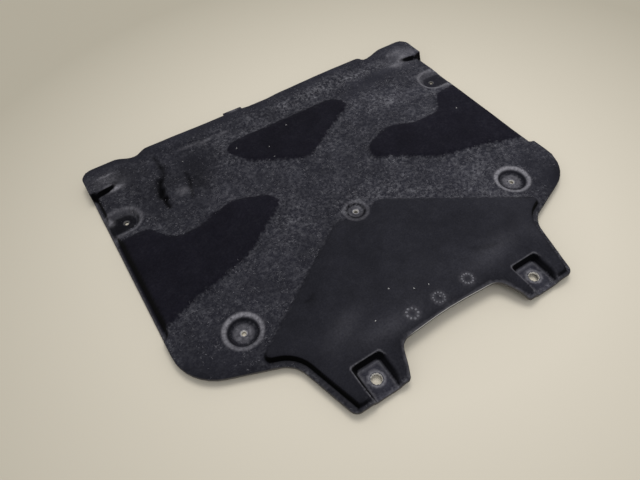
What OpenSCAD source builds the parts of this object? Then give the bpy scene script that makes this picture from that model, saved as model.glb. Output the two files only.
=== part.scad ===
// Engine skid plate: one sheet of felt composite, pressed to shape in a heated mould.
// Every number is in millimetres. +X is to the right and +Y to the back of the plate, and the side
// flanges lie on z = 0. Inside the file y is measured from the front edge of the two tabs, and the
// finished plate is moved so that the origin is at the middle of its footprint.

/* [Sheet] */
// Width across the two side flanges
plate_w = 428; // [400:1:460]
// Depth from the front of the tabs to the back edge
plate_d = 368; // [355:1:395]
// Thickness of the pressed sheet
skin = 2.5; // [2:0.1:3.2]
// Height of the arms above the side flanges
arm_rise = 5; // [3.5:0.5:8]
// Radius of the two front corners
front_corner_r = 45; // [30:1:50]
// Radius of the two back corners
back_corner_r = 13; // [6:1:18]
// Distance of the front corners, if they were sharp, behind the tabs
front_corner_y = 92; // [84:1:104]

/* [Tabs] */
// Distance between the two tab holes
tab_hole_spacing = 171; // [165:1:177]
// Distance of the tab holes behind the front of the tabs
tab_hole_y = 16; // [12:1:18]
// Diameter of the tab holes
tab_hole_d = 9.5; // [7:0.5:12]
// Width of a tab at its front
tab_w = 53; // [50:1:58]
// Distance of the edge between the tabs behind their front
tab_reach = 30; // [26:1:34]
// Distance of the notches beside the tabs behind their front
notch_y = 61; // [54:1:66]
// Distance by which a tab widens on its outer side up to the notch
notch_flare = 17; // [12:1:20]
// Radius of the notches beside the tabs
notch_r = 24; // [14:1:28]
// Width of the flat floor around a tab hole
tab_floor_w = 21.5; // [20:0.5:26]
// Depth of the flat floor around a tab hole, from the front of the tab
tab_floor_d = 28.5; // [25:0.5:31]
// Height of the floor around a tab hole above the side flanges
tab_floor_rise = 3.3; // [2:0.1:4.5]

/* [Fastener points] */
// Distance between the two front fastener holes
disc_spacing = 308; // [296:1:316]
// Distance of the front fastener holes behind the tabs
disc_y = 111; // [106:1:116]
// Diameter of the washer seat around a front fastener hole
seat_d = 36; // [32:1:40]
// Diameter of the dish inside the washer seat
dish_d = 28.5; // [26:0.5:31]
// Height of the dish floor above the side flanges
dish_rise = 1.4; // [0.5:0.1:2.5]
// Distance of the centre hole behind the tabs
centre_y = 167; // [160:1:172]
// Diameter of the pressed seat around the centre hole
centre_seat_d = 19; // [16:1:22]
// Height of the centre seat above the side flanges
centre_rise = 2.8; // [2:0.1:3.2]
// Radius of the flat around the centre seat
centre_flat_r = 16; // [13:1:20]
// Distance of the side holes from the side edges
side_hole_inset = 19; // [17:1:22]
// Distance of the side holes behind the tabs
side_hole_y = 286; // [278:1:292]
// Radius of the floor around a side hole
side_floor_r = 12; // [10:1:15]
// Diameter of the centre, front and side fastener holes
fastener_hole_d = 5; // [4:0.5:6.5]

/* [Flanges] */
// Width of the side flanges
flange_w = 3.5; // [3:0.5:7]
// Distance of the side flanges' front end behind the tabs
flange_front_y = 143; // [139:1:150]
// Distance of the side flanges' back end from the back edge
flange_back = 37.5; // [34:0.5:44]
// Width of the flange strips along the notches
notch_flange_w = 5; // [4:0.5:7]

/* [Pads] */
// Height of the two side pads and the back pad above the arms
pad_rise = 4; // [2.5:0.5:6]
// Height of the front pad above the arms
front_pad_rise = 6; // [4:0.5:8]
// Width of the soft slope around a pad
pad_slope_w = 13; // [9:0.5:15]
// Width of the soft slope by which the front pad falls towards the front of the tabs
tab_fall_w = 17; // [14:1:20]
// Height of the blister in the left back arm
blister_rise = 2.5; // [1.5:0.5:4]

/* [Back edge] */
// Height of the bead along the back edge above the arms
bead_rise = 5; // [3:0.5:7]
// Length of the bead
bead_l = 300; // [284:2:306]
// Height of the two corner lips above the arms
lip_rise = 6; // [3.5:0.5:7]
// Width of the small nib on the back edge
nib_w = 23; // [14:1:30]
// Distance by which the nib stands out
nib_out = 3.5; // [2:0.5:8]
// Distance of the nib's middle from the plate's centre line
nib_x = -33; // [-60:1:60]

/* [Hidden] */
colour = "#26262a";

half_w = plate_w / 2;
wall_x = half_w - flange_w;
flange_back_y = plate_d - flange_back;
tab_x = tab_hole_spacing / 2;
tab_in_x = tab_x - 22.5;
tab_out_x = tab_in_x + tab_w;
notch_x = tab_out_x + notch_flare;
disc = [disc_spacing / 2, disc_y];
centre = [0, centre_y];
side_hole = [half_w - side_hole_inset, side_hole_y];

// Run of a wall for each millimetre of its height
flange_slope = 0.65;
notch_slope = 0.4;
tab_slope = 0.48;
step_slope = 0.15;

// Distance of the middle of the fall towards the tabs behind the front of the tabs
tab_fall_y = 4;
// Distance over which the front pad's wall runs on beyond the bend of a notch
notch_wing_l = 30;
// Width of the slope around the blister
blister_slope_w = 9;
// Depth by which the washer seats and the centre flat are pressed into the arms
seat_press = 0.5;

// Cutters reach past the outline and above the highest pad by these amounts
past = 20;
clear_z = 17;
block_z = -6;

function unit(v) = v / norm(v);

function outward(a, b) = let (t = unit([b.x - a.x, b.y - a.y])) [t.y, -t.x];

// The sine of the turn from one edge's direction to the next, positive at a convex corner
function turn_of(n1, n2) = n1.x * n2.y - n1.y * n2.x;

// A corner whose two edges move outwards by d1 and d2
function moved(p, n1, n2, d1, d2) =
    let (c = turn_of(n1, n2))
    abs(c) < 0.02
        ? [p.x, p.y] + (d1 + d2) / 2 * unit(n1 + n2)
        : [p.x + (d1 * n2.y - d2 * n1.y) / c, p.y + (d2 * n1.x - d1 * n2.x) / c];

function step_count(u, v) = max(2, round((180 - acos(u * v)) / 20));

// The points of a round corner at p, between the corners a and b
function round_corner(a, p, b, r) =
    let (
        u = unit(a - p),
        v = unit(b - p),
        half = acos(u * v) / 2,
        c = p + unit(u + v) * r / sin(half),
        from = p + u * r / tan(half) - c,
        to = p + v * r / tan(half) - c,
        a0 = atan2(from.y, from.x),
        sweep = (atan2(to.y, to.x) - a0 + 900) % 360 - 180,
        steps = step_count(u, v)
    )
    [for (i = [0:steps]) c + r * [cos(a0 + sweep * i / steps), sin(a0 + sweep * i / steps)]];

// An outline of [x, y, radius] corners, anticlockwise, with edge i moved outwards by d[i]
function ring(outline, d) =
    let (
        n = len(outline),
        normals = [for (i = [0:n - 1]) outward(outline[i], outline[(i + 1) % n])],
        corners = [for (i = [0:n - 1])
            let (j = (i + n - 1) % n)
            moved(outline[i], normals[j], normals[i], d[j], d[i])],
        radii = [for (i = [0:n - 1])
            let (j = (i + n - 1) % n, side = sign(turn_of(normals[j], normals[i])))
            max(0.4, outline[i][2] + side * (d[j] + d[i]) / 2)]
    )
    [for (i = [0:n - 1])
        each round_corner(corners[(i + n - 1) % n], corners[i], corners[(i + 1) % n], radii[i])];

function each_edge(outline, value) = is_list(value) ? value : [for (p = outline) value];

// Sideways growth that keeps the sheet one thickness through a wall of this slope
function skin_growth(slope) = skin * tan(atan(1 / slope) / 2);

function mirrored(outline) =
    [for (i = [len(outline) - 1:-1:0]) [-outline[i].x, outline[i].y, outline[i][2]]];

// A closed solid through rings of [z, points], with its two ends fanned from the hub
module loft(rings, hub) {
    n = len(rings[0][1]);
    last = len(rings) - 1;
    points = [
        for (r = rings) each [for (p = r[1]) [p.x, p.y, r[0]]],
        [hub.x, hub.y, rings[0][0]],
        [hub.x, hub.y, rings[last][0]]
    ];
    walls = [for (k = [0:last - 1]) for (i = [0:n - 1])
        let (a = k * n + i, b = k * n + (i + 1) % n)
        each [[a, a + n, b + n], [a, b + n, b]]];
    foot = [for (i = [0:n - 1]) [n * (last + 1), i, (i + 1) % n]];
    head = [for (i = [0:n - 1]) [n * (last + 1) + 1, n * last + (i + 1) % n, n * last + i]];
    polyhedron(points, concat(walls, foot, head));
}

// A raised form: the outline runs halfway up its side, which falls to the arms in a soft curve
module raised(outline, rise, run, hub, lift, under, steps = 4) {
    runs = each_edge(outline, run);
    rings = [for (j = [-1:steps])
        let (
            k = max(j, 0),
            fall = 0.5 - k / steps + (j < 0 ? 1 / steps : 0),
            height = rise * (1 - cos(180 * k / steps)) / 2,
            below = j < 0 ? rise * (1 - cos(180 / steps)) / 2 : 0,
            growth = [for (r = runs) r * fall - (under ? skin_growth(r / rise) : 0)]
        )
        [arm_rise + lift + height - below, ring(outline, growth)]];
    loft(rings, hub);
}

// A cutter for a sunk form: the outline is its flat floor, and its walls open upwards
module sunk(outline, floor_z, slope, hub, lift, under) {
    slopes = each_edge(outline, slope);
    shifts = [for (s = slopes) under ? skin_growth(s) : 0];
    rings = [
        [floor_z + lift, ring(outline, shifts)],
        [clear_z, ring(outline, [for (i = [0:len(slopes) - 1])
            shifts[i] + slopes[i] * (clear_z - floor_z - lift)])]
    ];
    loft(rings, hub);
}

// A cutter for a round sunk form, as a true revolve
module sunk_round(r, floor_z, slope, lift, under) {
    shift = under ? skin_growth(slope) : 0;
    rise = clear_z - floor_z - lift;
    translate([0, 0, floor_z + lift])
        cylinder(r1 = r + shift, r2 = r + shift + slope * rise, h = rise, $fn = 96);
}

function right_outline() = [
    [0, tab_reach + 1, 260],
    [tab_in_x - 11, tab_reach - 2, 13],
    [tab_in_x + 1, 0, 4],
    [tab_out_x, 0, 8],
    [notch_x, notch_y, notch_r],
    [half_w, front_corner_y, front_corner_r],
    [half_w, plate_d, back_corner_r]
];

function plate_outline() =
    let (right = right_outline())
    concat(right, mirrored([for (i = [1:len(right) - 1]) right[i]]));

module outline_prism() {
    corners = plate_outline();
    translate([0, 0, block_z - 2])
        linear_extrude(clear_z + 10) {
            polygon(ring(corners, each_edge(corners, 0)));
            translate([nib_x - nib_w / 2, plate_d - 5])
                square([nib_w, 5 + nib_out]);
        }
}

function side_pad_outline() = [
    [half_w + past, side_hole.y - 24, 3],
    [side_hole.x - 15, side_hole.y - 25, 14],
    [side_hole.x - 33, side_hole.y - 51, 20],
    [side_hole.x - 66, side_hole.y - 52, 28],
    [centre.x + 99, centre.y + 81, 30],
    [centre.x + 64, centre.y + 68, 14],
    [centre.x + 53, centre.y + 51, 11],
    [disc.x - 38, disc.y + 64, 60],
    [disc.x + 16, disc.y + 51, 50],
    [wall_x - 4, disc.y + 37, 30],
    [half_w + past, disc.y + 46, 3]
];

module side_pad(lift, under) {
    raised(side_pad_outline(), pad_rise, pad_slope_w, disc + [-4, 95], lift, under);
}

// The front pad follows the notches at an even distance, so that a flat strip is left beside them
module front_pad(lift, under) {
    n1 = outward([tab_out_x, 0], [notch_x, notch_y]);
    n2 = outward([notch_x, notch_y], [half_w, front_corner_y]);
    wall_run = notch_slope * front_pad_rise;
    inset = notch_flange_w + wall_run / 2;
    bend = moved([notch_x, notch_y], n1, n2, -inset, -inset);
    front_x = bend.x + (bend.y - tab_fall_y) * n1.y / n1.x;
    end = bend + notch_wing_l * [-n2.y, n2.x];
    right = [
        [front_x, tab_fall_y, 1],
        [bend.x, bend.y, notch_r + inset],
        [end.x, end.y, 5],
        [centre.x + 27, centre.y - 4, 12]
    ];
    soft = pad_slope_w;
    runs = [wall_run, wall_run, soft, soft, soft, wall_run, wall_run, tab_fall_w];
    raised(concat(right, mirrored(right)), front_pad_rise, runs, [0, notch_y + 10], lift, under);
}

module back_pad(lift, under) {
    outline = [
        [centre.x, centre.y + 86, 20],
        [centre.x + 91, centre.y + 141, 12],
        [centre.x + 72, centre.y + 158, 16],
        [centre.x - 72, centre.y + 158, 16],
        [centre.x - 91, centre.y + 141, 12]
    ];
    raised(outline, pad_rise, pad_slope_w, centre + [0, 132], lift, under);
}

module blister(lift, under) {
    outline = [
        [-side_hole.x + 45, side_hole.y - 12, 11],
        [-side_hole.x + 71, side_hole.y - 12, 11],
        [-side_hole.x + 73, side_hole.y + 18, 11],
        [-side_hole.x + 48, side_hole.y + 26, 11]
    ];
    raised(outline, blister_rise, blister_slope_w, [-side_hole.x + 59, side_hole.y + 5], lift, under);
}

module bead(lift, under) {
    outline = [
        [-bead_l / 2, plate_d + past, 4],
        [-bead_l / 2 + 4, plate_d - 8, 12],
        [-bead_l / 2 + 70, plate_d - 23, 60],
        [bead_l / 2 - 70, plate_d - 23, 60],
        [bead_l / 2 - 4, plate_d - 8, 12],
        [bead_l / 2, plate_d + past, 4]
    ];
    raised(outline, bead_rise, [14, 12, 14, 12, 14, 8], [0, plate_d], lift, under);
}

module lip(lift, under) {
    outline = [
        [half_w + past, plate_d + past, 3],
        [half_w - 47, plate_d + past, 3],
        [half_w - 48, flange_back_y + 26, 16],
        [half_w - 28, flange_back_y + 3, 6],
        [half_w + past, flange_back_y - 5, 3]
    ];
    raised(outline, lip_rise, [12, 22, 12, 2.5, 8], [half_w, plate_d], lift, under);
}

// The flange strip, with the U-shaped floor around the side hole open to it
module side_flange(lift, under) {
    outline = [
        [wall_x, flange_front_y, 3],
        [half_w + past, flange_front_y, 3],
        [half_w + past, flange_back_y, 3],
        [wall_x, flange_back_y, 3],
        [wall_x, side_hole.y + side_floor_r, 5.5],
        [side_hole.x - side_floor_r, side_hole.y + side_floor_r, side_floor_r - 0.5],
        [side_hole.x - side_floor_r, side_hole.y - side_floor_r, side_floor_r - 0.5],
        [wall_x, side_hole.y - side_floor_r, 5.5]
    ];
    slopes = [for (i = [0:7]) i == 2 ? step_slope : flange_slope];
    sunk(outline, 0, slopes, [half_w + past / 2, side_hole.y], lift, under);
}

// The flat floor around a tab hole, open to the front
module tab_recess(lift, under) {
    half = tab_floor_w / 2;
    outline = [
        [tab_x - half, -past, 2],
        [tab_x + half, -past, 2],
        [tab_x + half, tab_floor_d, 1.5],
        [tab_x - half, tab_floor_d, 1.5]
    ];
    sunk(outline, tab_floor_rise, tab_slope, [tab_x, 0], lift, under);
}

module fastener_seats(lift, under) {
    for (side = [-1, 1])
        translate([side * disc.x, disc.y]) {
            sunk_round(dish_d / 2 - 2.5, dish_rise, 0.7, lift, under);
            if (!under)
                sunk_round(seat_d / 2, arm_rise - seat_press, 0.3, lift, under);
        }
    translate(centre) {
        sunk_round(centre_flat_r, arm_rise - seat_press, 0.8, lift, under);
        sunk_round(centre_seat_d / 2 - 2, centre_rise, 0.9, lift, under);
    }
}

// One face of the pressed sheet, as the top of a solid block
module pressed_form(lift, under) {
    difference() {
        union() {
            translate([-half_w - 30, -30, block_z - (under ? 1 : 0)])
                cube([plate_w + 60, plate_d + 60, arm_rise + lift - block_z + (under ? 1 : 0)]);
            front_pad(lift, under);
            back_pad(lift, under);
            blister(lift, under);
            bead(lift, under);
            for (side = [0, 1])
                mirror([side, 0, 0]) {
                    side_pad(lift, under);
                    lip(lift, under);
                }
        }
        for (side = [0, 1])
            mirror([side, 0, 0]) {
                side_flange(lift, under);
                tab_recess(lift, under);
            }
        fastener_seats(lift, under);
    }
}

module fastener_holes() {
    for (side = [-1, 1]) {
        translate([side * tab_x, tab_hole_y, block_z])
            cylinder(d = tab_hole_d, h = clear_z, $fn = 48);
        translate([side * disc.x, disc.y, block_z])
            cylinder(d = fastener_hole_d, h = clear_z, $fn = 48);
        translate([side * side_hole.x, side_hole.y, block_z])
            cylinder(d = fastener_hole_d, h = clear_z, $fn = 48);
    }
    translate([centre.x, centre.y, block_z])
        cylinder(d = fastener_hole_d, h = clear_z, $fn = 48);
}

module skid_plate() {
    color(colour)
        translate([0, -(plate_d + nib_out) / 2, 0])
            difference() {
                intersection() {
                    difference() {
                        pressed_form(skin, false);
                        pressed_form(0, true);
                    }
                    outline_prism();
                }
                fastener_holes();
            }
}

skid_plate();
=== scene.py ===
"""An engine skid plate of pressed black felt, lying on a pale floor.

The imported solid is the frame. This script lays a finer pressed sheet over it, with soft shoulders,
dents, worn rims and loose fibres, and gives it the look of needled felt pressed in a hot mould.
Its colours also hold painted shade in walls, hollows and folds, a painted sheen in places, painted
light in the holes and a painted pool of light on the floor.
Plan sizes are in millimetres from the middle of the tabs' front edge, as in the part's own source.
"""

from __future__ import annotations

import logging
import math
from collections.abc import Iterable, Sequence
from dataclasses import dataclass, field
from enum import Enum

import bpy
import numpy as np
from mathutils import Matrix
from mathutils.geometry import delaunay_2d_cdt


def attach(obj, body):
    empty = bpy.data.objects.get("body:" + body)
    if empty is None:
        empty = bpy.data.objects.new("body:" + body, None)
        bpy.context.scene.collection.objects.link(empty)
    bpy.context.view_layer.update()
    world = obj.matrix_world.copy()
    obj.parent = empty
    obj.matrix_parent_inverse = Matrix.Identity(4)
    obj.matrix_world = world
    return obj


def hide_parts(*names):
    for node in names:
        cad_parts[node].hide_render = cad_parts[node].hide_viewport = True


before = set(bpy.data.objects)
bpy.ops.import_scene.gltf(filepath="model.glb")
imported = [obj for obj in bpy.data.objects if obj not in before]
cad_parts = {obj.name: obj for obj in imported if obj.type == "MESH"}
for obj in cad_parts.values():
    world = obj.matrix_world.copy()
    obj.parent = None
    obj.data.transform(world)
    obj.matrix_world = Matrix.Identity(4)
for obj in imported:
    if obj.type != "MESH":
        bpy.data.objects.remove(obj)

LOG = logging.getLogger("skid_plate")
MM = 0.001
BODY = "root"
NODE = "skid_plate"
# The middles of the front pad's three rings of moulded dots, from the frame's origin.
MARKS = ((-29.3, -142.6), (-1.1, -142.9), (31.5, -142.0))
# A distance in millimetres past all that a mask reaches.
FAR = 99.0
# Points measured at once, which bounds the memory in use.
CHUNK = 4000
# A round corner's least radius in millimetres, and the turn between two of its points.
LEAST_RADIUS = 0.3
TURN_STEP = math.radians(9)

Corner = tuple[float, float, float]
Spot = tuple[float, float, float]
Values = float | Sequence[float]
Array = np.ndarray
Amount = Array | float
Masks = dict[str, Array]
Tree = bpy.types.NodeTree
Socket = bpy.types.NodeSocket
Sockets = bpy.types.bpy_prop_collection


class Face(Enum):
    """The two faces of the pressed sheet."""

    TOP = "top"
    UNDER = "under"


class Hole(Enum):
    """The kinds of fastener hole, each on both sides but for the one in the centre."""

    DISC = "disc"
    TAB = "tab"
    SIDE = "side"
    CENTRE = "centre"


class Mark(Enum):
    """What is seen round a hole: pale rings, painted shade in a groove, or wear."""

    RINGS = "rings"
    GROOVE_SHADE = "groove"
    WEAR = "wear"


def linear(hex_colour: str) -> tuple[float, float, float, float]:
    """Turns an sRGB hex colour into a linear one.

    Args:
        hex_colour: Six hex digits, with or without a leading hash.

    Returns:
        Linear red, green and blue, with alpha 1.
    """
    digits = hex_colour.lstrip("#")
    parts = [int(digits[i : i + 2], 16) / 255 for i in (0, 2, 4)]
    r, g, b = (p / 12.92 if p <= 0.04045 else ((p + 0.055) / 1.055) ** 2.4 for p in parts)
    return r, g, b, 1.0


def smooth(x: Array) -> Array:
    """Eases 0..1 in and out, holding the ends."""
    x = np.clip(x, 0.0, 1.0)
    return x * x * (3.0 - 2.0 * x)


def away(points: Array, x: float, y: float) -> Array:
    """Measures how far points lie from a spot."""
    return np.hypot(points[:, 0] - x, points[:, 1] - y)


def circle(x: float, y: float, radius: float, count: int, shift: float = 0.0) -> Array:
    """Gives points evenly round a circle, turned by a share of their spacing."""
    angle = (np.arange(count) + shift) * 2 * math.pi / count
    return np.array([x, y]) + radius * np.stack([np.cos(angle), np.sin(angle)], 1)


def band(x: Array, low: float, high: float, soft: float) -> Array:
    """Gives 1 between low and high, with soft shoulders of that width."""
    return smooth((x - low) / soft + 0.5) * smooth((high - x) / soft + 0.5)


def soft_min(a: Array, b: Array, k: Amount) -> Array:
    """Takes the lower of two heights, rounded over k."""
    h = np.clip(k - np.abs(a - b), 0.0, None) / k
    return np.minimum(a, b) - h * h * k / 4.0


def soft_max(a: Array, b: Array, k: Amount) -> Array:
    """Takes the higher of two heights, rounded over k."""
    return -soft_min(-a, -b, k)


def unit(v: Array) -> Array:
    """Scales a vector to length 1."""
    return v / np.linalg.norm(v)


def outward(a: Array, b: Array) -> Array:
    """Gives the outward normal of the edge from a to b of an anticlockwise outline."""
    t = unit(b - a)
    return np.array([t[1], -t[0]])


def mirrored(outline: Sequence[Corner]) -> list[Corner]:
    """Mirrors an outline in the middle line and keeps it anticlockwise."""
    return [(-x, y, r) for x, y, r in reversed(outline)]


def trace(outline: Sequence[Corner], values: Values, grow: float = 0.0) -> tuple[Array, Array]:
    """Traces an outline with round corners.

    Args:
        outline: Corners as x, y and radius, anticlockwise.
        values: One value, or one for each edge, carried along the outline.
        grow: Distance by which the outline is moved outwards.

    Returns:
        The points, and the value at each, which eases from edge to edge round a corner.
    """
    n = len(outline)
    vals = list(values) if isinstance(values, Sequence) else [values] * n
    p = np.array([c[:2] for c in outline], float)
    normals = [outward(p[i], p[(i + 1) % n]) for i in range(n)]
    corners = []
    for i in range(n):
        a, b = normals[i - 1], normals[i]
        corners.append(p[i] + grow * (a + b) / (1.0 + a @ b))
    points: list[Array] = []
    carried: list[float] = []
    for i in range(n):
        a, b = normals[i - 1], normals[i]
        turn = a[0] * b[1] - a[1] * b[0]
        radius = max(LEAST_RADIUS, outline[i][2] + math.copysign(grow, turn * grow) * (1 if grow else 0))
        u = unit(corners[i - 1] - corners[i])
        v = unit(corners[(i + 1) % n] - corners[i])
        half = math.acos(np.clip(u @ v, -1, 1)) / 2
        centre = corners[i] + unit(u + v) * radius / math.sin(half)
        start = corners[i] + u * radius / math.tan(half) - centre
        end = corners[i] + v * radius / math.tan(half) - centre
        a0 = math.atan2(start[1], start[0])
        sweep = (math.atan2(end[1], end[0]) - a0 + 3 * math.pi) % (2 * math.pi) - math.pi
        steps = max(2, round(abs(sweep) / TURN_STEP))
        for k in range(steps + 1):
            angle = a0 + sweep * k / steps
            points.append(centre + radius * np.array([math.cos(angle), math.sin(angle)]))
            carried.append(vals[i - 1] + (vals[i] - vals[i - 1]) * k / steps)
    return np.array(points), np.array(carried)


def distance(points: Array, loop: Array, carried: Array) -> tuple[Array, Array]:
    """Measures how far points lie outside a closed loop.

    Args:
        points: Plan points.
        loop: The loop's points in order.
        carried: A value at each of the loop's points.

    Returns:
        The distance, negative inside, and the carried value at the nearest place on the loop.
    """
    a, b = loop, np.roll(loop, -1, axis=0)
    va, vb = carried, np.roll(carried, -1)
    keep = np.linalg.norm(b - a, axis=1) > 1e-9
    a, b, va, vb = a[keep], b[keep], va[keep], vb[keep]
    edge = b - a
    length = (edge**2).sum(1)
    found = np.empty(len(points))
    value = np.empty(len(points))
    for lo in range(0, len(points), CHUNK):
        p = points[lo : lo + CHUNK, None, :]
        t = np.clip(((p - a) * edge).sum(2) / length, 0, 1)
        gap = ((p - a - t[..., None] * edge) ** 2).sum(2)
        i = gap.argmin(1)
        row = np.arange(len(i))
        crosses = (a[:, 1] > p[..., 1]) != (b[:, 1] > p[..., 1])
        rise = np.where(np.abs(edge[:, 1]) < 1e-12, 1e-12, edge[:, 1])
        left = p[..., 0] < a[:, 0] + (p[..., 1] - a[:, 1]) * edge[:, 0] / rise
        inside = (crosses & left).sum(1) % 2 == 1
        d = np.sqrt(gap[row, i])
        found[lo : lo + CHUNK] = np.where(inside, -d, d)
        value[lo : lo + CHUNK] = va[i] + (vb[i] - va[i]) * t[row, i]
    return found, value


def outside(points: Array, loop: Array) -> Array:
    """Measures how far points lie outside a closed loop, negative inside."""
    return distance(points, loop, np.zeros(len(loop)))[0]


def resample(loop: Array, step: float) -> Array:
    """Splits the long sides of a closed loop.

    Args:
        loop: The loop's points in order.
        step: The longest piece that may be left.

    Returns:
        The loop's old and new points in order.
    """
    out = []
    for a, b in zip(loop, np.roll(loop, -1, axis=0)):
        gap = np.linalg.norm(b - a)
        if gap < 1e-6:
            continue
        pieces = max(1, math.ceil(gap / step))
        out += [a + (b - a) * k / pieces for k in range(pieces)]
    return np.array(out)


def waves(points: Array, seed: int, size: float, count: int) -> Array:
    """Adds up slow sine waves in random directions.

    Args:
        points: Plan points.
        seed: Seed of the directions, phases and lengths.
        size: Typical wavelength.
        count: Number of waves.

    Returns:
        Values of about -1 to 1.
    """
    rng = np.random.default_rng(seed)
    total = np.zeros(len(points))
    for _ in range(count):
        angle, phase = rng.uniform(0, 2 * math.pi, 2)
        length = size * rng.uniform(0.6, 1.7)
        way = points @ np.array([math.cos(angle), math.sin(angle)])
        total += np.sin(way * 2 * math.pi / length + phase)
    return total / math.sqrt(count)


def along(points: Array, path: Sequence[tuple[float, float]]) -> Array:
    """Measures how far points lie from an open path.

    Args:
        points: Plan points.
        path: The path's points in order.

    Returns:
        The distance of each plan point.
    """
    near = np.full(len(points), 1e9)
    for start, end in zip(path, path[1:]):
        a, edge = np.array(start), np.array(end) - np.array(start)
        t = np.clip((points - a) @ edge / (edge @ edge), 0, 1)
        near = np.minimum(near, np.linalg.norm(points - a - t[:, None] * edge, axis=1))
    return near


@dataclass(frozen=True)
class Patch:
    """A soft oval zone of the felt, placed in millimetres from the frame's origin.

    Its amount adds to the raised pale fibres, to the shade, to the rubbed places or to the painted
    sheen, whichever list it stands in. A negative one takes away.
    """

    x: float
    y: float
    long: float
    wide: float
    turn: float
    amount: float

    def cover(self, points: Array) -> Array:
        """Works out how much of the patch each point gets.

        Args:
            points: Points measured from the frame's origin.

        Returns:
            The patch's amount, fading outwards.
        """
        c, s = math.cos(math.radians(self.turn)), math.sin(math.radians(self.turn))
        x, y = points[:, 0] - self.x, points[:, 1] - self.y
        q = ((x * c + y * s) / self.long) ** 2 + ((y * c - x * s) / self.wide) ** 2
        return self.amount * np.exp(-q)


def patches(*rows: tuple[float, ...]) -> tuple[Patch, ...]:
    """Makes a patch of each row."""
    return tuple(Patch(*row) for row in rows)


def covers(zones: Sequence[Patch], points: Array) -> Array:
    """Adds up what several patches give over points."""
    return sum(zone.cover(points) for zone in zones)


@dataclass(frozen=True)
class HoleMark:
    """A soft ring between two radii round each hole of one kind. The right hole's gets more by `right`."""

    hole: Hole
    kind: Mark
    inner: float
    outer: float
    soft: float
    amount: float
    right: float = 0.0


@dataclass
class Crowd:
    """Points that keep their distance, filed in square cells so that near ones are found fast."""

    cell: float = 1.2
    cells: dict[tuple[int, int], list[Array]] = field(default_factory=dict)

    def place(self, p: Array) -> tuple[int, int]:
        """Gives the cell that a point lies in."""
        return int(p[0] // self.cell), int(p[1] // self.cell)

    def add(self, points: Iterable[Array]) -> None:
        """Files points without a test."""
        for p in points:
            self.cells.setdefault(self.place(p), []).append(p)

    def is_free(self, p: Array, gap: float) -> bool:
        """Tells whether every filed point lies at least the gap away."""
        i, j = self.place(p)
        near = (q for a in (-1, 0, 1) for b in (-1, 0, 1) for q in self.cells.get((i + a, j + b), ()))
        return all((p[0] - q[0]) ** 2 + (p[1] - q[1]) ** 2 >= gap * gap for q in near)


@dataclass(frozen=True)
class Crease:
    """A pressed-in fold of the felt along a path, in millimetres from the frame's origin."""

    path: tuple[tuple[float, float], ...]
    width: float
    depth: float
    # How much darker the fold is painted along its line, as a painted shadow.
    shade: float

    def profile(self, points: Array) -> Array:
        """Gives 1 along the fold, fading over its width."""
        return np.exp(-((along(points, self.path) / self.width) ** 2))


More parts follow.
